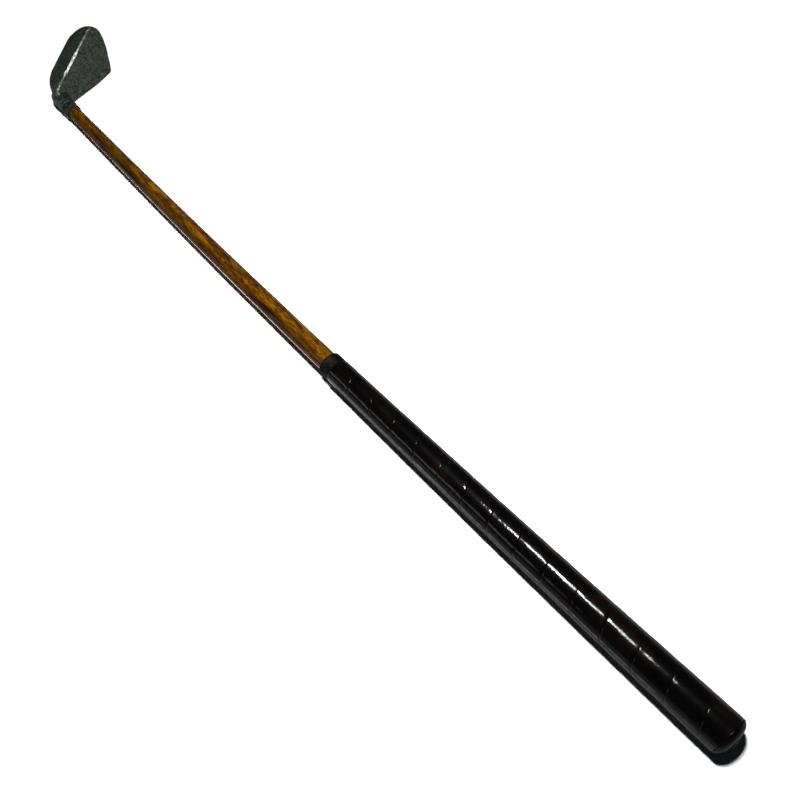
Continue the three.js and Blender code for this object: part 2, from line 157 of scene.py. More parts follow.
class PutterSizes(bpy.types.PropertyGroup):
    """Sizes of the club, and of the fine pieces made here."""

    club_length: FloatProperty(
        name="Club length",
        description="Mouth of the socket to the end of the butt cap",
        default=0.8066,
        unit="LENGTH",
    )
    butt_bow: FloatProperty(
        name="Bow",
        description="How far the warped shaft bends aside by its butt end",
        default=0.0193,
        unit="LENGTH",
    )
    bow_turn: FloatProperty(
        name="Bow direction",
        description="Turn of the bow from the toe side toward the back",
        default=math.radians(26),
        unit="ROTATION",
    )
    tenon_length: FloatProperty(
        name="Tenon",
        description="Wood inside the socket",
        default=0.021,
        unit="LENGTH",
    )
    shaft_neck: FloatProperty(
        name="Shaft at the neck",
        description="Radius of the wood at the mouth of the socket",
        default=0.0063,
        unit="LENGTH",
    )
    shaft_grip: FloatProperty(
        name="Shaft at the grip",
        description="Radius of the wood where the grip starts",
        default=0.00845,
        unit="LENGTH",
    )
    shaft_butt: FloatProperty(
        name="Shaft at the butt",
        description="Radius of the wood under the butt cap",
        default=0.01075,
        unit="LENGTH",
    )
    grip_length: FloatProperty(
        name="Grip length",
        description="End of the butt cap to the end of the lower whipping",
        default=0.3783,
        unit="LENGTH",
    )
    grip_low: FloatProperty(
        name="Grip low radius",
        description="Outer radius of the leather at its lower end",
        default=0.01045,
        unit="LENGTH",
    )
    grip_butt: FloatProperty(
        name="Grip butt radius",
        description="Outer radius of the leather at the butt",
        default=0.0139,
        unit="LENGTH",
    )
    leather_thickness: FloatProperty(
        name="Leather",
        description="Thickness of the strip",
        default=0.00105,
        unit="LENGTH",
    )
    leather_pitch: FloatProperty(
        name="Strip pitch",
        description="Advance of the leather strip in one turn",
        default=0.025,
        unit="LENGTH",
    )
    leather_seam: FloatProperty(
        name="Seam",
        description="Open seam between two turns of the strip",
        default=0.00009,
        unit="LENGTH",
    )
    leather_crown: FloatProperty(
        name="Crown",
        description="How far the strip swells between its edges",
        default=0.00004,
        unit="LENGTH",
    )
    thread_radius: FloatProperty(
        name="Thread radius",
        description="Radius of the waxed thread",
        default=0.0004,
        unit="LENGTH",
    )
    thread_pitch: FloatProperty(
        name="Thread pitch",
        description="Advance of the thread in one loop",
        default=0.0015,
        unit="LENGTH",
    )
    neck_loops: IntProperty(
        name="Loops at the neck",
        description="Loops of thread where the shaft enters the neck",
        default=6,
    )
    grip_loops: IntProperty(
        name="Loops at the grip",
        description="Loops of thread over the leather's lower end",
        default=7,
    )
    cap_thickness: FloatProperty(
        name="Butt cap",
        description="Thickness of the domed leather cap",
        default=0.0053,
        unit="LENGTH",
    )
    casting_grain: FloatProperty(
        name="Casting grain",
        description="Cell of the mesh that softens the casting",
        default=0.00055,
        unit="LENGTH",
    )


class PutterColours(bpy.types.PropertyGroup):
    """Colours of the finishes, in linear light."""

    metal: FloatVectorProperty(
        name="Cast metal",
        description="Dull body of the head",
        default=(0.212, 0.246, 0.208),
        subtype="COLOR",
        size=3,
    )
    metal_dark: FloatVectorProperty(
        name="Tarnish",
        description="Dark mottling of the head",
        default=(0.048, 0.070, 0.062),
        subtype="COLOR",
        size=3,
    )
    # Also the colour of the painted highlight along the face's top edge.
    metal_worn_and_highlight: FloatVectorProperty(
        name="Worn metal",
        description="Rubbed edges of the head",
        default=(0.42, 0.44, 0.42),
        subtype="COLOR",
        size=3,
    )
    hickory_amber: FloatVectorProperty(
        name="Hickory",
        description="Varnished wood near the grip",
        default=(0.360, 0.136, 0.0005),
        subtype="COLOR",
        size=3,
    )
    hickory_brown: FloatVectorProperty(
        name="Aged hickory",
        description="Varnished wood near the head",
        default=(0.265, 0.112, 0.0022),
        subtype="COLOR",
        size=3,
    )
    hickory_streak: FloatVectorProperty(
        name="Grain streaks",
        description="Dark grain of the wood",
        default=(0.017, 0.0058, 0.0006),
        subtype="COLOR",
        size=3,
    )
    leather: FloatVectorProperty(
        name="Leather",
        description="Near-black grip leather",
        default=(0.0012, 0.0010, 0.0010),
        subtype="COLOR",
        size=3,
    )
    leather_tint: FloatVectorProperty(
        name="Rubbed leather",
        description="Red-brown tint where hands rubbed the grip",
        default=(0.0085, 0.0034, 0.0026),
        subtype="COLOR",
        size=3,
    )
    thread: FloatVectorProperty(
        name="Thread",
        description="Waxed thread",
        default=(0.0022, 0.0026, 0.0038),
        subtype="COLOR",
        size=3,
    )
    # Painted sheen: the paler grey that the thread near the head is painted in place of its sheen; also
    # the grey of its fuzz.
    thread_sheen_grey: FloatVectorProperty(
        name="Bleached thread",
        description="Thread near the head, gone grey",
        default=(0.060, 0.072, 0.074),
        subtype="COLOR",
        size=3,
    )
    tape: FloatVectorProperty(
        name="Tape",
        description="Cloth tape under the leather",
        default=(0.020, 0.015, 0.010),
        subtype="COLOR",
        size=3,
    )
    floor: FloatVectorProperty(
        name="Floor",
        description="Pale floor, before the camera's lift",
        default=(0.40, 0.405, 0.40),
        subtype="COLOR",
        size=3,
    )


# Places on the club


def bow_at(sizes, along):
    """Offset of the warped shaft from its straight line."""
    size = sizes.butt_bow * (max(0.0, along) / sizes.club_length) ** 2
    aside = SHAFT_SIDE * (-size * math.cos(sizes.bow_turn))
    return aside + SHAFT_BACK * (size * math.sin(sizes.bow_turn))


def shaft_point(sizes, along, radius, turn):
    """Point at a radius and turn about the bowed shaft."""
    across = SHAFT_SIDE * (radius * math.cos(turn)) + SHAFT_BACK * (radius * math.sin(turn))
    return SOCKET_MOUTH + UP_SHAFT * along + bow_at(sizes, along) + across


def blend_value(at, start_at, start_value, end_at, end_value):
    """Value on the straight line through two known places."""
    return start_value + (end_value - start_value) * (at - start_at) / (end_at - start_at)


def grip_start(sizes):
    """Place along the shaft where the lower whipping starts."""
    return sizes.club_length - sizes.grip_length


def cap_seat(sizes):
    """Place along the shaft where the butt cap sits."""
    return sizes.club_length - sizes.cap_thickness


def leather_start(sizes):
    """Place along the shaft where the leather starts, next to the lower whipping."""
    return grip_start(sizes) + sizes.grip_loops * sizes.thread_pitch + 2 * sizes.thread_radius + GLUE_GAP


def wood_radius(sizes, along):
    """Radius of the wood along the shaft."""
    if along < 0:
        return blend_value(along, -sizes.tenon_length, TENON_END_RADIUS, 0, sizes.shaft_neck)
    start = grip_start(sizes)
    if along < start:
        return blend_value(along, 0, sizes.shaft_neck, start, sizes.shaft_grip)
    return blend_value(along, start, sizes.shaft_grip, cap_seat(sizes) - GLUE_GAP, sizes.shaft_butt)


def grip_radius(sizes, along):
    """Outer radius of the leather."""
    return blend_value(along, leather_start(sizes), sizes.grip_low, cap_seat(sizes), sizes.grip_butt)


def tape_radius(sizes, along):
    """Outer radius of the tape under the leather and under the lower whipping."""
    if along < leather_start(sizes):
        return wood_radius(sizes, along) + GLUE_GAP + TAPE_UNDER_THREAD
    return grip_radius(sizes, along) - sizes.leather_thickness - GLUE_GAP


# Mesh tools


def make_object(name, data):
    """New object in the scene."""
    item = bpy.data.objects.new(name, data)
    bpy.context.scene.collection.objects.link(item)
    return item


def mesh_from(name, body):
    """Mesh written from an edited body, which is then freed."""
    mesh = bpy.data.meshes.new(name)
    body.to_mesh(mesh)
    body.free()
    return mesh


def store_shares(mesh, name, shares):
    """Stores one number for each point of a mesh, for its material to read."""
    mesh.attributes.new(name, "FLOAT", "POINT").data.foreach_set("value", shares)


def read_rows(items, name, width, kind):
    """Numbers read from the items of a mesh, one row for each."""
    numbers = np.empty(len(items) * width, kind)
    items.foreach_get(name, numbers)
    return numbers.reshape(-1, width)


def ring_about(sizes, along, radius, sides):
    """Ring of points about the bowed shaft."""
    return [shaft_point(sizes, along, radius, math.tau * k / sides) for k in range(sides)]


def skin(name, rings, tube=False):
    """Smooth body through rings of points, either capped at both ends or joined into a tube."""
    body = bmesh.new()
    rows = [[body.verts.new(point) for point in ring] for ring in rings]
    next_rows = rows[1:] + rows[:1] if tube else rows[1:]
    for near, far in zip(rows, next_rows):
        for k in range(len(near)):
            after = (k + 1) % len(near)
            body.faces.new((near[k], near[after], far[after], far[k]))
    if not tube:
        body.faces.new(list(reversed(rows[0])))
        body.faces.new(rows[-1])
    bmesh.ops.recalc_face_normals(body, faces=body.faces)
    mesh = mesh_from(name, body)
    mesh.shade_smooth()
    return make_object(name, mesh)


def crease(piece, degrees):
    """Keeps edges sharper than the given angle crisp."""
    piece.data.set_sharp_from_angle(angle=math.radians(degrees))


def dress(piece, material, slot, *nodes):
    """Gives a piece its finish, its body and the solids that it stands for."""
    piece.data.materials.clear()
    piece.data.materials.append(material)
    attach(piece, "root")
    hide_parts(*nodes)
    return piece


def repaint(node_name, material):
    """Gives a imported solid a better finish."""
    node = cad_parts[node_name]
    for slot in node.material_slots:
        slot.link = "OBJECT"
        slot.material = material


# Material tools


class NodeSheet:
    """Adds nodes to one tree, and feeds them with outputs or plain values."""

    def __init__(self, tree):
        self.tree = tree
        tree.nodes.clear()

    def put(self, socket, value):
        """Links an output to an input, or writes a plain value on it."""
        if isinstance(value, bpy.types.NodeSocket):
            self.tree.links.new(value, socket)
        elif socket.type == "RGBA":
            socket.default_value = (*value, 1.0)
        else:
            socket.default_value = value

    def remap(self, value, low, high, new_low=0.0, new_high=1.0):
        """Stretches a range of values, clamped and eased."""
        node = self.tree.nodes.new("ShaderNodeMapRange")
        node.interpolation_type = "SMOOTHSTEP"
        for socket, number in zip(node.inputs, (value, low, high, new_low, new_high)):
            self.put(socket, number)
        return node.outputs[0]

    def mixed(self, share, first, second):
        """Colour between two colours."""
        node = self.tree.nodes.new("ShaderNodeMix")
        node.data_type = "RGBA"
        self.put(node.inputs[0], share)
        self.put(node.inputs[6], first)
        self.put(node.inputs[7], second)
        return node.outputs[2]

    def maths(self, operation, first, second):
        """Number worked out from two others."""
        node = self.tree.nodes.new("ShaderNodeMath")
        node.operation = operation
        self.put(node.inputs[0], first)
        self.put(node.inputs[1], second)
        return node.outputs[0]

    def vector_maths(self, operation, *vectors):
        """Node that works on one or two vectors."""
        node = self.tree.nodes.new("ShaderNodeVectorMath")
        node.operation = operation
        for socket, vector in zip(node.inputs, vectors):
            self.put(socket, vector)
        return node

    def parts(self, vector):
        """The X, Y and Z of a vector."""
        node = self.tree.nodes.new("ShaderNodeSeparateXYZ")
        self.put(node.inputs[0], vector)
        return node.outputs

    def ray(self, kind):
        """One for rays of the given kind, and nought for all the rest."""
        return self.tree.nodes.new("ShaderNodeLightPath").outputs[kind]


class Recipe(NodeSheet):
    """A material built round one Principled shader, in the object's own coordinates."""

    def __init__(self, name):
        self.material = bpy.data.materials.new(name)
        self.material.use_nodes = True
        super().__init__(self.material.node_tree)
        output = self.tree.nodes.new("ShaderNodeOutputMaterial")
        self.shader = self.tree.nodes.new("ShaderNodeBsdfPrincipled")
        self.put(output.inputs["Surface"], self.shader.outputs[0])
        self.place = self.tree.nodes.new("ShaderNodeTexCoord").outputs["Object"]

    def set(self, **values):
        """Sets inputs of the shader by name, with underscores for spaces."""
        for name, value in values.items():
            self.put(self.shader.inputs[name.replace("_", " ")], value)

    def stretched(self, x, y, z):
        """Coordinates scaled along each axis."""
        node = self.tree.nodes.new("ShaderNodeMapping")
        self.put(node.inputs["Vector"], self.place)
        node.inputs["Scale"].default_value = (x, y, z)
        return node.outputs[0]

    def noise(self, scale, detail=4.0, roughness=0.55, distortion=0.0, vector=None):
        """Cloudy pattern between nought and one."""
        node = self.tree.nodes.new("ShaderNodeTexNoise")
        self.put(node.inputs["Vector"], vector or self.place)
        node.inputs["Scale"].default_value = scale
        node.inputs["Detail"].default_value = detail
        node.inputs["Roughness"].default_value = roughness
        node.inputs["Distortion"].default_value = distortion
        return node.outputs[0]

    def cells(self, scale, vector=None):
        """Distance to the middle of the nearest cell."""
        node = self.tree.nodes.new("ShaderNodeTexVoronoi")
        self.put(node.inputs["Vector"], vector or self.place)
        node.inputs["Scale"].default_value = scale
        return node.outputs["Distance"]

    def attribute(self, name):
        """Number stored on the mesh's points."""
        node = self.tree.nodes.new("ShaderNodeAttribute")
        node.attribute_name = name
        return node.outputs["Fac"]

    def bump(self, height, distance, strength=1.0, under=None):
        """Surface relief, in metres, optionally on top of another relief."""
        node = self.tree.nodes.new("ShaderNodeBump")
        node.inputs["Strength"].default_value = strength
        node.inputs["Distance"].default_value = distance
        self.put(node.inputs["Height"], height)
        if under is not None:
            self.put(node.inputs["Normal"], under)
        return node.outputs[0]


def cast_metal(colours):
    """Dull cast aluminium: tarnish mottling, cast pits and rubbed edges, with a painted highlight on the
    face's top edge and painted shade on the face.
    """
    recipe = Recipe("cast_aluminium")
    blotches = recipe.remap(recipe.noise(210.0, detail=4.0, roughness=0.65), 0.38, 0.64)
    specks = recipe.remap(recipe.noise(390.0, detail=3.0, roughness=0.6), 0.44, 0.56)
    broad = recipe.maths("MULTIPLY", blotches, 0.45)
    mottle = recipe.maths("ADD", broad, recipe.maths("MULTIPLY", specks, 0.55))
    stain = recipe.remap(recipe.noise(55.0, detail=3.0), 0.46, 0.70, 0.0, 0.8)
    warmth = recipe.remap(recipe.noise(38.0, detail=2.0), 0.40, 0.62, 0.0, 0.75)
    dirty = recipe.maths("MULTIPLY", recipe.maths("MAXIMUM", mottle, stain), 0.95)
    clean = recipe.mixed(warmth, colours.metal, WARM_METAL)
    body = recipe.mixed(dirty, clean, colours.metal_dark)
    scuffs = recipe.remap(recipe.noise(420.0, detail=6.0, roughness=0.7), 0.5, 0.75)
    kept = recipe.maths("SUBTRACT", 1.0, recipe.maths("MULTIPLY", scuffs, 0.5))
    rubbing_and_painted_light = recipe.attribute("wear_and_painted_light")
    wear_and_painted_light = recipe.maths("MULTIPLY", recipe.maths("MAXIMUM", rubbing_and_painted_light, 0.0), kept)
    unworn = recipe.maths("SUBTRACT", 1.0, wear_and_painted_light)
    # Painted shade: where the stored share is below nought, on the face and the ends of its top edge,
    # the metal is darkened.
    painted_shade_body = recipe.mixed(recipe.remap(rubbing_and_painted_light, -0.8, 0.0, 0.7, 0.0), body, PAINTED_SHADE_METAL)
    clouded = recipe.maths("MULTIPLY", recipe.maths("MULTIPLY", mottle, unworn), 0.3)
    # Rubbed edges take the worn metal colour, and so does the face's top edge, where it is a painted
    # highlight.
    recipe.set(
        Base_Color=recipe.mixed(wear_and_painted_light, painted_shade_body, colours.metal_worn_and_highlight),
        Metallic=1.0,
        Roughness=recipe.remap(recipe.maths("SUBTRACT", rubbing_and_painted_light, clouded), -1.0, 0.12, 0.66, 0.43),
    )
    pits = recipe.remap(recipe.cells(520.0), 0.05, 0.42)
    grain = recipe.bump(recipe.noise(1100.0, detail=3.0), 0.00010)
    hollows = recipe.maths("MULTIPLY", recipe.noise(260.0, detail=4.0), unworn)
    lumps = recipe.bump(hollows, 0.0013, 0.9, grain)
    recipe.set(Normal=recipe.bump(pits, 0.00010, 0.8, lumps))
    return recipe.material


def dark_steel():
    """Filed steel pin with a thin dark skin."""
    recipe = Recipe("pin_steel")
    marks = recipe.noise(700.0, detail=3.0, vector=recipe.stretched(1.0, 6.0, 1.0))
    recipe.set(
        Base_Color=recipe.mixed(marks, STEEL_DARK, STEEL_FILED),
        Metallic=1.0,
        Roughness=recipe.remap(marks, 0.3, 0.7, 0.42, 0.6),
        Normal=recipe.bump(marks, 0.00003),
    )
    return recipe.material


def dull_lead():
    """Lead plug, hammered in and dressed flush."""
    recipe = Recipe("sole_lead")
    dents = recipe.noise(260.0, detail=3.0)
    recipe.set(
        Base_Color=recipe.mixed(dents, LEAD_DARK, LEAD_PALE),
        Metallic=1.0,
        Roughness=recipe.remap(dents, 0.3, 0.7, 0.5, 0.68),
        Normal=recipe.bump(dents, 0.0003, 0.5),
    )
    return recipe.material


def tarnished_brass():
    """Brass tack gone brown round its rim."""
    recipe = Recipe("tack_brass")
    tarnish = recipe.remap(recipe.noise(420.0, detail=4.0), 0.4, 0.65)
    recipe.set(
        Base_Color=recipe.mixed(tarnish, BRASS, BRASS_TARNISH),
        Metallic=1.0,
        Roughness=recipe.remap(tarnish, 0.0, 1.0, 0.38, 0.6),
        Normal=recipe.bump(recipe.noise(1500.0), 0.00003),
    )
    return recipe.material


def varnished_hickory(colours):
    """Split hickory under old varnish: browner toward the head, with dark streaks and short flecks, and
    paler on its lit side as painted light.

    The wood under the neck's thread is black with pitch, and the black runs just past the thread as a
    painted shadow.
    """
    recipe = Recipe("varnished_hickory")
    toward_head = recipe.parts(recipe.place)["X"]
    drift = recipe.maths("MULTIPLY", recipe.maths("SUBTRACT", recipe.noise(9.0, detail=2.0), 0.5), 0.25)
    aged = recipe.remap(recipe.maths("ADD", toward_head, drift), -0.06, 0.38)
    lit_side_sapwood = recipe.mixed(aged, colours.hickory_amber, colours.hickory_brown)
    shaded_side_heartwood = recipe.mixed(aged, SHADED_HEARTWOOD_BY_GRIP, SHADED_HEARTWOOD_BY_HEAD)
    # Painted light: the paler wood lies on the side of the shaft toward the lamp, the darker wood on the
    # shaded side.
    amber = recipe.mixed(recipe.remap(recipe.attribute("lit_side_sapwood"), 0.30, 0.85), shaded_side_heartwood, lit_side_sapwood)
    fibres = recipe.noise(1.0, detail=3.0, roughness=0.6, vector=recipe.stretched(70.0, 420.0, 420.0))
    bands = recipe.noise(1.0, detail=3.0, distortion=0.4, vector=recipe.stretched(12.0, 190.0, 190.0))
    rings = recipe.noise(1.0, detail=4.0, distortion=0.5, vector=recipe.stretched(19.0, 400.0, 400.0))
    flecks = recipe.noise(1.0, detail=4.0, roughness=0.7, vector=recipe.stretched(210.0, 520.0, 520.0))
    clouds = recipe.noise(1.0, detail=4.0, roughness=0.7, vector=recipe.stretched(75.0, 190.0, 190.0))
    russet = recipe.mixed(recipe.remap(clouds, 0.46, 0.58, 0.0, 0.85), amber, WOOD_RUSSET)
    olive = recipe.mixed(recipe.remap(bands, 0.42, 0.60, 0.0, 0.6), russet, WOOD_OLIVE)
    grained = recipe.mixed(recipe.remap(fibres, 0.44, 0.58, 0.0, 0.75), olive, WOOD_FIBRE)
    streaks = recipe.maths("MULTIPLY", recipe.remap(rings, 0.53, 0.60), recipe.remap(bands, 0.42, 0.54))
    marks = recipe.maths("MULTIPLY", recipe.remap(flecks, 0.55, 0.66), 0.85)
    dark = recipe.maths("MAXIMUM", recipe.maths("MULTIPLY", streaks, 0.95), marks)
    pitch_and_shadow = recipe.remap(toward_head, SOCKET_MOUTH.x - PITCH_AND_SHADOW_END, SOCKET_MOUTH.x - PITCH_WHOLE)
    wood = recipe.mixed(dark, grained, colours.hickory_streak)
    recipe.set(
        Base_Color=recipe.mixed(pitch_and_shadow, wood, WOOD_PITCH_AND_SHADOW),
        Roughness=recipe.remap(fibres, 0.3, 0.7, 0.40, 0.52),
        Specular_IOR_Level=0.03,
        Coat_Weight=1.0,
        Coat_IOR=1.17,
        Coat_Roughness=0.05,
    )
    recipe.set(Normal=recipe.bump(fibres, 0.00006, 0.7, recipe.bump(bands, 0.0004, 0.4)))
    return recipe.material


def grip_leather(colours, name="grip_leather_black", polish=1.0):
    """Polished near-black leather with fine grain, stretch lines and rubbed tints."""
    recipe = Recipe(name)
    patches = recipe.noise(1.0, detail=4.0, roughness=0.6, vector=recipe.stretched(26.0, 60.0, 60.0))
    rubbed = recipe.remap(patches, 0.47, 0.7)
    specks = recipe.remap(recipe.noise(620.0, detail=4.0, roughness=0.75), 0.52, 0.72)
    grain = recipe.cells(900.0, vector=recipe.stretched(0.6, 1.0, 1.0))
    pores = recipe.noise(2600.0, detail=2.0)
    lines = recipe.noise(1.0, detail=4.0, roughness=0.65, vector=recipe.stretched(110.0, 420.0, 420.0))
    wear_and_painted_light = recipe.maths("MULTIPLY", recipe.attribute("wear_and_painted_light"), 0.35)
    handled = recipe.maths("MULTIPLY", recipe.maths("MAXIMUM", rubbed, specks), 0.9)
    tinted = recipe.maths("MAXIMUM", handled, wear_and_painted_light)
    dryness = recipe.maths("ADD", rubbed, recipe.maths("MULTIPLY", lines, 0.5))
    recipe.set(
        Base_Color=recipe.mixed(tinted, colours.leather, colours.leather_tint),
        Roughness=recipe.remap(dryness, 0.0, 1.3, 0.32, 0.46),
        Specular_IOR_Level=0.02,
        Coat_Weight=polish,
        Coat_IOR=1.28,
        Coat_Roughness=0.075,
    )
    relief = recipe.bump(recipe.remap(grain, 0.0, 0.6), 0.00004, 0.4, recipe.bump(lines, 0.00022, 0.45))
    uneven = recipe.bump(pores, 0.00001, 0.5, relief)
    recipe.set(Normal=uneven, Coat_Normal=uneven)
    return recipe.material


def waxed_thread(colours):
    """Waxed thread, black at the grip and painted paler grey near the head as a painted sheen."""
    recipe = Recipe("waxed_thread")
    toward_head = recipe.parts(recipe.place)["X"]
    fibres = recipe.noise(3200.0, detail=3.0)
    spots = recipe.remap(recipe.noise(420.0, detail=3.0), 0.42, 0.62)
    sheen_grey = recipe.mixed(spots, colours.thread_sheen_grey, colours.thread)
    ground = recipe.mixed(recipe.remap(toward_head, 0.1, 0.3), colours.thread, sheen_grey)
    fuzz = recipe.remap(fibres, 0.45, 0.8, 0.0, 0.18)
    recipe.set(
        Base_Color=recipe.mixed(fuzz, ground, colours.thread_sheen_grey),
        Roughness=recipe.remap(fibres, 0.3, 0.7, 0.30, 0.5),
        Specular_IOR_Level=0.08,
    )
    recipe.set(Normal=recipe.bump(fibres, 0.00004, 0.7))
    return recipe.material


def cotton_tape(colours):
    """Plain woven tape."""
    recipe = Recipe("cotton_tape")
    weave = recipe.cells(1400.0, vector=recipe.stretched(1.0, 0.8, 0.8))
    grime = recipe.remap(recipe.noise(60.0, detail=3.0), 0.4, 0.7, 0.0, 0.6)
    recipe.set(
        Base_Color=recipe.mixed(grime, colours.tape, TAPE_GRIME),
        Roughness=recipe.remap(weave, 0.0, 0.6, 0.95, 0.8),
    )
    recipe.set(Normal=recipe.bump(weave, 0.00015, 0.8))
    return recipe.material


# Pieces


def front_edge_rub_and_highlight(point):
    """How rubbed a point of the face's top edge is, the share also painting the lamp's highlight there:
    bright by the neck, and dull by the toe, where the dulling is painted shade.
    """
    start = HEAD_EDGE_END + HEAD_UP * HEAD_HEIGHT
    reach = (point - start).dot(HEAD_TOE)
    nearest = start + HEAD_TOE * min(max(reach, 0.0), FACE_REACH)
    from_neck = min(1.0, max(-0.6, (reach - RUBBED_HIGHLIGHT_START) / RUBBED_HIGHLIGHT_FADE_BY_NECK))
    from_toe = min(1.0, max(-0.9, (RUBBED_HIGHLIGHT_END - reach) / RUBBED_HIGHLIGHT_FADE_BY_TOE))
    width = RUBBED_HIGHLIGHT_WIDTH * (1.0 + 0.45 * noise.noise(Vector((reach * 190, 0.0, 7.0))))
    closeness = max(0.0, 1.0 - (point - nearest).length / width)
    return from_neck * from_toe * min(1.0, 1.6 * closeness)


def outward_bend(mesh, places, normals):
    """How far the mesh bends outward at each point, smoothed over its neighbours."""
    ends = read_rows(mesh.edges, "vertices", 2, np.int32)
    valence = np.bincount(ends.ravel(), minlength=len(places)).astype(np.float32)
    bend = np.zeros(len(places), np.float32)
    for near, far in ((ends[:, 0], ends[:, 1]), (ends[:, 1], ends[:, 0])):
        step = places[near] - places[far]
        np.add.at(bend, near, (step * normals[near]).sum(1) / np.linalg.norm(step, axis=1))
    bend /= valence
    for _ in range(3):
        total = np.zeros(len(places), np.float32)
        np.add.at(total, ends[:, 0], bend[ends[:, 1]])
        np.add.at(total, ends[:, 1], bend[ends[:, 0]])
        bend = 0.4 * bend + 0.6 * total / valence
    return bend


def mark_wear_and_painted_light(mesh):
    """Stores a share for each point of the casting: up to one where rubbed or painted bright, below
    nought where painted dark.

    Sharp outer edges are rubbed, more so away from the neck, and so is the face's top edge, which also
    carries a painted highlight and painted shade at both its ends. The face itself and the back wall,
    which is parallel to it, are darkened as painted shade.
    """
    places = read_rows(mesh.vertices, "co", 3, np.float32)
    normals = read_rows(mesh.vertex_normals, "vector", 3, np.float32)
    sharp = np.clip((outward_bend(mesh, places, normals) - 0.05) / 0.12, 0, 1)
    from_neck = np.linalg.norm(places - np.array(SOCKET_MOUTH, np.float32), axis=1)
    rubbed = sharp * np.clip((from_neck - 0.018) / 0.016, 0.03, 0.55)
    front = np.array([front_edge_rub_and_highlight(Vector(point)) for point in places], np.float32)
    wear_and_painted_light = np.where(front < 0, front, np.maximum(rubbed, front))
    # Painted shade: the face and the back wall parallel to it are marked below nought.
    facing = np.abs(normals @ np.array(HEAD_UP.cross(HEAD_TOE), np.float32))
    wear_and_painted_light = np.where((facing > 0.9) & (wear_and_painted_light < 0.1), np.minimum(wear_and_painted_light, -0.25), wear_and_painted_light)
    store_shares(mesh, "wear_and_painted_light", wear_and_painted_light)


def make_casting(sizes, colours):
    """Head whose edges and neck run into each other as in a casting."""
    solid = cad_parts["head_casting"].data.copy()
    merged = bmesh.new()
    merged.from_mesh(solid)
    bmesh.ops.remove_doubles(merged, verts=merged.verts, dist=WELD_DISTANCE)
    merged.to_mesh(solid)
    merged.free()
    rough = make_object("casting_blank", solid)
    remesh = rough.modifiers.new("even_mesh", "REMESH")
    remesh.mode = "VOXEL"
    remesh.voxel_size = sizes.casting_grain
    soften = rough.modifiers.new("soft_edges", "SMOOTH")
    soften.factor = 0.5
    soften.iterations = 14
    bpy.context.view_layer.update()
    graph = bpy.context.evaluated_depsgraph_get()
    mesh = bpy.data.meshes.new_from_object(rough.evaluated_get(graph))
    bpy.data.objects.remove(rough)
    mesh.name = "mallet_head"
    mesh.shade_smooth()
    mark_wear_and_painted_light(mesh)
    return dress(make_object("mallet_head", mesh), cast_metal(colours), "cast_metal", "head_casting")


def make_shaft(sizes, colours):
    """Shaved hickory shaft with slight flats left by the spokeshave, and paler sapwood on one side,
    which is the side toward the light, so partly painted light.
    """
    seat = cap_seat(sizes) - GLUE_GAP
    rings = []
    lit_side_sapwood = []
    for along in np.linspace(-sizes.tenon_length, seat, WOOD_STATIONS):
        ring = []
        for k in range(WOOD_SIDES):
            turn = math.tau * k / WOOD_SIDES
            ripple = noise.noise(Vector((along * 16, math.cos(turn) * 1.3, math.sin(turn) * 1.3)))
            radius = wood_radius(sizes, along) + SPOKESHAVE_FLATS * ripple
            ring.append(shaft_point(sizes, along, radius, turn))
            # Share of paler wood, highest on the side toward the light: painted light.
            drift = noise.noise(Vector((along * 22, math.cos(turn), math.sin(turn))))
            lit_side_sapwood.append(0.5 - 0.5 * math.cos(turn) + 0.18 * drift)
        rings.append(ring)
    wood = skin("shaft_wood", rings)
    crease(wood, 50)
    store_shares(wood.data, "lit_side_sapwood", lit_side_sapwood)
    return dress(wood, varnished_hickory(colours), "hickory", "hickory_shaft")


def wind_thread(name, sizes, start, loops, surface):
    """One unbroken thread of three plies, wound on a round surface."""
    rings = []
    for step in range(loops * THREAD_STEPS + 1):
        turn = math.tau * step / THREAD_STEPS
        along = start + step / THREAD_STEPS * sizes.thread_pitch
        radius = surface(sizes, along) + GLUE_GAP + sizes.thread_radius
        centre = shaft_point(sizes, along, radius, turn)
        outward = (SHAFT_SIDE * math.cos(turn) + SHAFT_BACK * math.sin(turn)).normalized()
        ring = []
        for k in range(THREAD_SIDES):
            roll = math.tau * k / THREAD_SIDES
            ply = 1.0 + PLY_SWELL * math.cos(3 * (roll - step * PLY_TWIST))
            reach = sizes.thread_radius * ply
            aside = UP_SHAFT * (reach * math.sin(roll))
            ring.append(centre + outward * (reach * math.cos(roll)) + aside)
        rings.append(ring)
    return skin(name, rings)


def make_whippings(sizes, colours):
    """Thread at the neck and thread over the lower end of the leather."""
    thread = waxed_thread(colours)
    start = GLUE_GAP + sizes.thread_radius
    neck = wind_thread("neck_thread", sizes, start, sizes.neck_loops, wood_radius)
    dress(neck, thread, "thread", "neck_whipping")
    start = grip_start(sizes) + sizes.thread_radius
    low = wind_thread("grip_thread", sizes, start, sizes.grip_loops, tape_radius)
    dress(low, thread, "thread", "grip_whipping")


def make_tape(sizes, colours):
    """Cloth sleeve between the wood and the leather."""
    start = grip_start(sizes) + sizes.thread_radius
    end = cap_seat(sizes) - GLUE_GAP
    rings = []
    for along in np.linspace(start, end, TAPE_STATIONS):
        rings.append(ring_about(sizes, along, tape_radius(sizes, along), TAPE_SIDES))
    for along in np.linspace(end, start, TAPE_STATIONS):
        rings.append(ring_about(sizes, along, wood_radius(sizes, along) + GLUE_GAP, TAPE_SIDES))
    tape = skin("grip_tape", rings, tube=True)
    crease(tape, 50)
    return dress(tape, cotton_tape(colours), "cloth", "grip_listing")


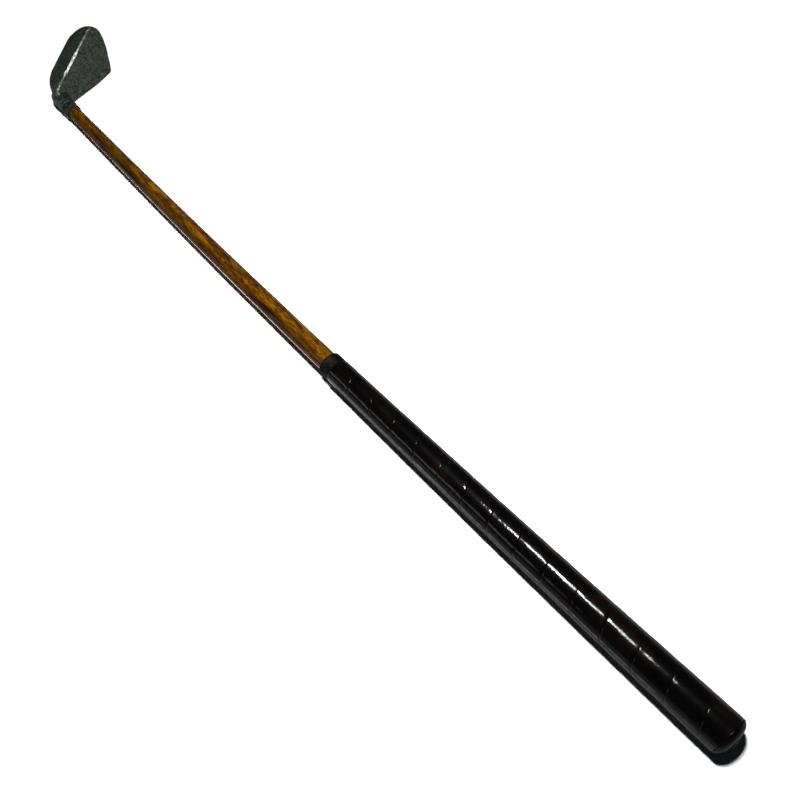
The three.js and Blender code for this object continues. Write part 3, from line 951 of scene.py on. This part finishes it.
def strip_section(sizes, low, high, step):
    """Section of the leather strip: pared a little toward the head, and full toward the butt.

    Each row is a radius, a place along the shaft, and how worn the leather is there.
    """
    width = high - low
    lap = min(STRIP_LAP, width * 0.42)
    edge = min(STRIP_EDGE, width * 0.3)
    thickness = sizes.leather_thickness
    pared = thickness * 0.95
    bottom = grip_radius(sizes, low) - thickness
    rows = [
        (bottom, low, 0.0),
        (bottom + pared * 0.8, low, 0.6),
        (bottom + pared, low + edge * 0.6, 0.8),
    ]
    for share in (0.4, 0.7):
        along = low + lap * share
        height = blend_value(share, 0, pared, 1, thickness)
        rows.append((grip_radius(sizes, along) - thickness + height, along, 0.3))
    for k in range(CROWN_STEPS + 1):
        share = k / CROWN_STEPS
        along = blend_value(share, 0, low + lap, 1, high - edge)
        swell = sizes.leather_crown * math.sin(math.pi * share) * min(1.0, width / 0.02)
        wave = STRIP_WAVE * noise.noise(Vector((along * 140, step * 0.11, 3.0)))
        rows.append((grip_radius(sizes, along) + swell + wave, along, 0.0))
    top = grip_radius(sizes, high)
    rows.append((top - 0.00003, high - edge * 0.30, 0.6))
    rows.append((top - 0.00012, high, 0.8))
    rows.append((top - thickness, high, 0.0))
    return rows


def make_grip(sizes, colours):
    """Leather strip wound from the whipping to the butt in one piece, cut to a point at each end."""
    width = sizes.leather_pitch - sizes.leather_seam
    point_width = 0.002
    low_end = leather_start(sizes)
    high_end = cap_seat(sizes) - GLUE_GAP
    start = low_end + point_width - width / 2
    end = high_end - point_width + width / 2
    steps = round((end - start) / sizes.leather_pitch * STRIP_STEPS)
    rings = []
    wear_and_painted_light = []
    for step in range(steps + 1):
        middle = blend_value(step, 0, start, steps, end)
        turn = (middle - start) / sizes.leather_pitch * math.tau
        low = max(low_end, middle - width / 2)
        high = min(high_end, middle + width / 2)
        section = strip_section(sizes, low, high, step)
        rings.append([shaft_point(sizes, along, radius, turn) for radius, along, _ in section])
        wear_and_painted_light += [share for _, _, share in section]
    strip = skin("grip_strip", rings)
    crease(strip, 55)
    store_shares(strip.data, "wear_and_painted_light", wear_and_painted_light)
    return dress(strip, grip_leather(colours), "leather", "grip_leather")


def make_cap(sizes, colours):
    """Domed leather cap with a flat middle under the tack, and a rim that hands rubbed."""
    seat = cap_seat(sizes)
    top = sizes.club_length
    radius = sizes.grip_butt
    side = radius - 0.0001
    rows = [(CAP_MIDDLE, seat), (radius * 0.55, seat), (radius - 0.0003, seat), (side, seat + 0.0003)]
    for k in range(CAP_STEPS + 1):
        share = k / CAP_STEPS
        rest = 1 - share
        dome = rest * rest * side + 2 * rest * share * CAP_SHOULDER + share * share * CAP_FLAT
        rows.append((dome, rest * rest * (seat + 0.0007) + (1 - rest * rest) * top))
    rows.append((CAP_MIDDLE, top))
    cap = skin("cap_disc", [ring_about(sizes, along, reach, CAP_SIDES) for reach, along in rows])
    crease(cap, 60)
    wear_and_painted_light = []
    for point in cap.data.vertices:
        from_rim = (point.co - SOCKET_MOUTH).dot(UP_SHAFT) - seat - 0.0018
        wear_and_painted_light.append(min(1.0, max(0.0, 1 - abs(from_rim) / 0.0014)))
    store_shares(cap.data, "wear_and_painted_light", wear_and_painted_light)
    return dress(cap, grip_leather(colours, "cap_leather_black", polish=0.5), "leather", "butt_cap")


# Stage


def pale_floor(colours):
    """Pale floor, which the camera sees as white paper with its shadows."""
    material = bpy.data.materials.new("pale_floor")
    material.use_nodes = True
    sheet = NodeSheet(material.node_tree)
    output = sheet.tree.nodes.new("ShaderNodeOutputMaterial")
    diffuse = sheet.tree.nodes.new("ShaderNodeBsdfDiffuse")
    glow = sheet.tree.nodes.new("ShaderNodeEmission")
    both = sheet.tree.nodes.new("ShaderNodeAddShader")
    seen = sheet.ray("Is Camera Ray")
    lifted = [FLOOR_LIFT * part for part in colours.floor]
    sheet.put(diffuse.inputs["Color"], sheet.mixed(seen, colours.floor, lifted))
    place = sheet.tree.nodes.new("ShaderNodeTexCoord").outputs["Object"]
    reach = sheet.vector_maths("LENGTH", place).outputs["Value"]
    far = sheet.remap(reach, WHITE_STARTS, WHITE_WHOLE)
    sheet.put(glow.inputs["Strength"], sheet.maths("MULTIPLY", far, seen))
    sheet.put(both.inputs[0], diffuse.outputs[0])
    sheet.put(both.inputs[1], glow.outputs[0])
    sheet.put(output.inputs["Surface"], both.outputs[0])
    return material


def add_lamp(name, place, target, length, width, watts):
    """Soft oval lamp aimed at a point, its length along the club."""
    light = bpy.data.lights.new(name, "AREA")
    light.shape = "ELLIPSE"
    light.size = length
    light.size_y = width
    light.energy = watts
    lamp = make_object(name, light)
    back = (place - target).normalized()
    across = back.cross(CLUB_AXIS).normalized()
    along = across.cross(back)
    lamp.matrix_world = Matrix((along, across, back)).transposed().to_4x4()
    lamp.location = place
    return lamp


def add_edge_card(name, place, length, width, watts):
    """Bright strip lying beside the club, which only its gloss picks up."""
    above = place + Vector((0.0, 0.0, 1.0))
    card = add_lamp(name, place, above, length, width, watts)
    card.visible_diffuse = False
    card.visible_camera = False


def long_window(sheet, direction):
    """Share of a long low window beside the club, which only its gloss picks up.

    Each line of the table says where an edge of the window starts and where the window is whole.
    """
    level = sheet.vector_maths("MULTIPLY", direction, (0.0, 1.0, 1.0)).outputs[0]
    height = sheet.parts(sheet.vector_maths("NORMALIZE", level).outputs[0])["Z"]
    heading = sheet.parts(direction)
    edges = (
        (height, 0.41, 0.36),
        (heading["Y"], 0.5, 0.7),
        (heading["X"], 0.12, 0.22),
        (heading["X"], 0.60, 0.52),
    )
    share = sheet.remap(height, 0.24, 0.29)
    for value, starts, whole in edges:
        share = sheet.maths("MULTIPLY", share, sheet.remap(value, starts, whole))
    return share


def add_world():
    """Dim studio, paler toward the horizon; the camera sees white where it looks past the floor."""
    world = bpy.data.worlds.new("studio")
    bpy.context.scene.world = world
    world.use_nodes = True
    sheet = NodeSheet(world.node_tree)
    output = sheet.tree.nodes.new("ShaderNodeOutputWorld")
    background = sheet.tree.nodes.new("ShaderNodeBackground")
    direction = sheet.tree.nodes.new("ShaderNodeTexCoord").outputs["Generated"]
    height = sheet.remap(sheet.parts(direction)["Z"], 0.05, 0.6)
    room = sheet.mixed(height, ROOM_HORIZON, ROOM_ABOVE)
    glossy = sheet.mixed(long_window(sheet, direction), room, WINDOW_GLOW)
    lit = sheet.mixed(sheet.ray("Is Glossy Ray"), ROOM_FILL, glossy)
    sheet.put(background.inputs["Color"], sheet.mixed(sheet.ray("Is Camera Ray"), lit, WHITE))
    sheet.put(output.inputs["Surface"], background.outputs[0])


def add_camera():
    """Camera at the photograph's viewing angle."""
    data = bpy.data.cameras.new("product_camera")
    data.sensor_fit = "HORIZONTAL"
    data.sensor_width = 36.0
    data.lens = CAMERA_LENS
    data.clip_start = 0.01
    data.clip_end = 100.0
    camera = make_object("product_camera", data)
    right = CAMERA_RIGHT.normalized()
    backward = right.cross(-CAMERA_DOWN).normalized()
    up = backward.cross(right)
    turn = Matrix((right, up, backward)).transposed().to_4x4()
    camera.matrix_world = Matrix.Translation(CAMERA_PLACE) @ turn
    bpy.context.scene.camera = camera


def make_stage(colours):
    """Floor, lamps, world and camera."""
    body = bmesh.new()
    bmesh.ops.create_circle(body, cap_ends=True, segments=96, radius=FLOOR_RADIUS)
    floor = make_object("studio_floor", mesh_from("studio_floor", body))
    floor.data.materials.append(pale_floor(colours))
    add_lamp("overhead_lamp", LAMP_PLACE, LAMP_TARGET, length=0.16, width=0.12, watts=9.5)
    place = LAMP_PLACE + GLINT_SHIFT
    target = LAMP_TARGET + GLINT_SHIFT
    glint = add_lamp("grip_glint_lamp", place, target, length=0.17, width=0.12, watts=0.42)
    glint.data.spread = GLINT_SPREAD
    glint.visible_diffuse = False
    add_edge_card("grip_edge_card", GRIP_CARD_PLACE, length=0.46, width=0.003, watts=0.019)
    add_edge_card("wood_edge_card", WOOD_CARD_PLACE, length=0.46, width=0.0035, watts=0.016)
    add_world()
    add_camera()
    bpy.context.scene.view_settings.view_transform = "Standard"


# Add-on


class PUTTER_OT_head(bpy.types.Operator):
    """Softens the cast head and gives it its worn metal"""

    bl_idname = "putter.head"
    bl_label = "Cast Head"

    def execute(self, context):
        make_casting(context.scene.putter_sizes, context.scene.putter_colours)
        return {"FINISHED"}


class PUTTER_OT_fittings(bpy.types.Operator):
    """Gives the neck pin, the sole weight and the butt tack their metals"""

    bl_idname = "putter.fittings"
    bl_label = "Pin, Weight and Tack"

    def execute(self, context):
        repaint("neck_pin", dark_steel())
        repaint("sole_weight", dull_lead())
        repaint("butt_tack", tarnished_brass())
        return {"FINISHED"}


class PUTTER_OT_shaft(bpy.types.Operator):
    """Makes the shaved hickory shaft"""

    bl_idname = "putter.shaft"
    bl_label = "Hickory Shaft"

    def execute(self, context):
        make_shaft(context.scene.putter_sizes, context.scene.putter_colours)
        return {"FINISHED"}


class PUTTER_OT_whippings(bpy.types.Operator):
    """Winds the two thread whippings"""

    bl_idname = "putter.whippings"
    bl_label = "Whippings"

    def execute(self, context):
        make_whippings(context.scene.putter_sizes, context.scene.putter_colours)
        return {"FINISHED"}


class PUTTER_OT_grip(bpy.types.Operator):
    """Wraps the cloth tape and winds the leather strip over it"""

    bl_idname = "putter.grip"
    bl_label = "Leather Grip"

    def execute(self, context):
        make_tape(context.scene.putter_sizes, context.scene.putter_colours)
        make_grip(context.scene.putter_sizes, context.scene.putter_colours)
        return {"FINISHED"}


class PUTTER_OT_cap(bpy.types.Operator):
    """Makes the domed butt cap"""

    bl_idname = "putter.cap"
    bl_label = "Butt Cap"

    def execute(self, context):
        make_cap(context.scene.putter_sizes, context.scene.putter_colours)
        return {"FINISHED"}


class PUTTER_OT_stage(bpy.types.Operator):
    """Sets the floor, the lamps, the world and the camera"""

    bl_idname = "putter.stage"
    bl_label = "Stage"

    def execute(self, context):
        make_stage(context.scene.putter_colours)
        return {"FINISHED"}


OPERATORS = (
    PUTTER_OT_stage,
    PUTTER_OT_head,
    PUTTER_OT_fittings,
    PUTTER_OT_shaft,
    PUTTER_OT_whippings,
    PUTTER_OT_grip,
    PUTTER_OT_cap,
)


class PUTTER_PT_sidebar(bpy.types.Panel):
    """Lists the putter's sizes, colours and pieces"""

    bl_label = "Hickory Putter"
    bl_idname = "PUTTER_PT_sidebar"
    bl_space_type = "VIEW_3D"
    bl_region_type = "UI"
    bl_category = "Putter"

    def draw(self, context):
        for group in (context.scene.putter_sizes, context.scene.putter_colours):
            box = self.layout.box()
            for name in group.__annotations__:
                box.prop(group, name)
        for operator in OPERATORS:
            self.layout.operator(operator.bl_idname)


CLASSES = (PutterSizes, PutterColours, *OPERATORS, PUTTER_PT_sidebar)


def register():
    for item in CLASSES:
        bpy.utils.register_class(item)
    bpy.types.Scene.putter_sizes = PointerProperty(type=PutterSizes)
    bpy.types.Scene.putter_colours = PointerProperty(type=PutterColours)


def unregister():
    del bpy.types.Scene.putter_colours
    del bpy.types.Scene.putter_sizes
    for item in reversed(CLASSES):
        bpy.utils.unregister_class(item)


def main():
    register()
    bpy.ops.putter.stage()
    bpy.ops.putter.head()
    bpy.ops.putter.fittings()
    bpy.ops.putter.shaft()
    bpy.ops.putter.whippings()
    bpy.ops.putter.grip()
    bpy.ops.putter.cap()


if __name__ == "__main__":
    main()
